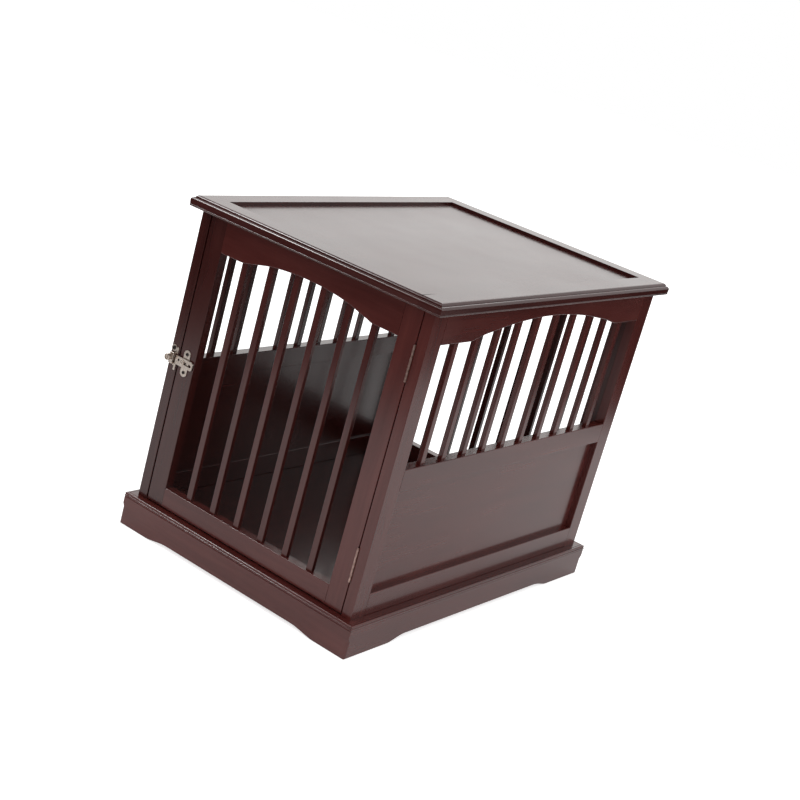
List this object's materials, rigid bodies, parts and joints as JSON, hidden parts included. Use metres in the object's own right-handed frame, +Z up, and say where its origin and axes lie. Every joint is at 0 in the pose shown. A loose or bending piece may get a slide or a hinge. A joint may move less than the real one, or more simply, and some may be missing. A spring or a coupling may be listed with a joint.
{
  "type": "dog crate end table",
  "caption": "Slatted wooden dog crate end table with a barred front door, wavy top rails, recessed panel top, moulded plinth and slide bolt latch, dark glossy lacquer",
  "frame": {"origin": "On the floor under the middle of the table, midway between the outer faces", "axes": "X runs along the door side to the viewer's right when facing the door, Y runs from the door side to the back, Z is up"},
  "size_m": [0.4484, 0.6384, 0.512],
  "materials": {
    "lacquered_wood": "gloss",
    "bare_wood": "raw",
    "latch_metal": "satin",
    "dark_screw": "satin",
    "zinc_screw": "satin"
  },
  "bodies": {
    "carcass": {"back_arched_rail": "lacquered_wood", "back_bottom_rail": "lacquered_wood", "back_dowels": "bare_wood", "back_left_stile": "lacquered_wood", "back_right_stile": "lacquered_wood", "back_slats": "lacquered_wood", "base_back_board": "lacquered_wood", "base_corner_blocks": "bare_wood", "base_front_board": "lacquered_wood", "base_left_board": "lacquered_wood", "base_right_board": "lacquered_wood", "base_screws": "zinc_screw", "floor_cleats": "bare_wood", "floor_panel": "lacquered_wood", "hinge_frame_screws": "dark_screw", "keeper_screw": "dark_screw", "latch_keeper": "latch_metal", "left_arched_rail": "lacquered_wood", "left_bottom_rail": "lacquered_wood", "left_front_stile": "lacquered_wood", "left_mid_rail": "lacquered_wood", "left_panel": "lacquered_wood", "left_rear_stile": "lacquered_wood", "left_slats": "lacquered_wood", "lower_hinge_frame_leaf": "latch_metal", "lower_hinge_pin": "latch_metal", "right_arched_rail": "lacquered_wood", "right_bottom_rail": "lacquered_wood", "right_front_stile": "lacquered_wood", "right_mid_rail": "lacquered_wood", "right_panel": "lacquered_wood", "right_rear_stile": "lacquered_wood", "right_slats": "lacquered_wood", "top_back_rail": "lacquered_wood", "top_cleat_screws": "zinc_screw", "top_cleats": "bare_wood", "top_front_rail": "lacquered_wood", "top_left_rail": "lacquered_wood", "top_panel": "lacquered_wood", "top_right_rail": "lacquered_wood", "upper_hinge_frame_leaf": "latch_metal", "upper_hinge_pin": "latch_metal"},
    "door": {"door_arched_rail": "lacquered_wood", "door_bottom_rail": "lacquered_wood", "door_hinge_stile": "lacquered_wood", "door_latch_stile": "lacquered_wood", "door_slats": "lacquered_wood", "hinge_door_screws": "dark_screw", "latch_plate": "latch_metal", "latch_plate_screws": "dark_screw", "latch_rivet": "latch_metal", "lower_hinge_door_leaf": "latch_metal", "upper_hinge_door_leaf": "latch_metal"},
    "latch_slide_bar": {"latch_bar": "latch_metal"},
    "lock_pin_body": {"lock_pin": "latch_metal"}
  },
  "joints": [
    {"name": "door_hinge", "type": "hinge", "parent": "carcass", "child": "door", "pos_m": [0.1913, -0.3067, 0], "axis": [0, 0, 1], "range_deg": [0, 170]},
    {"name": "latch_slide", "type": "slide", "parent": "door", "child": "latch_slide_bar", "axis": [-1, 0, 0], "range_m": [0, 0.0146]},
    {"name": "lock_pin_slide", "type": "slide", "parent": "carcass", "child": "lock_pin_body", "axis": [0, 1, 0], "range_m": [0, 0.0019]}
  ]
}
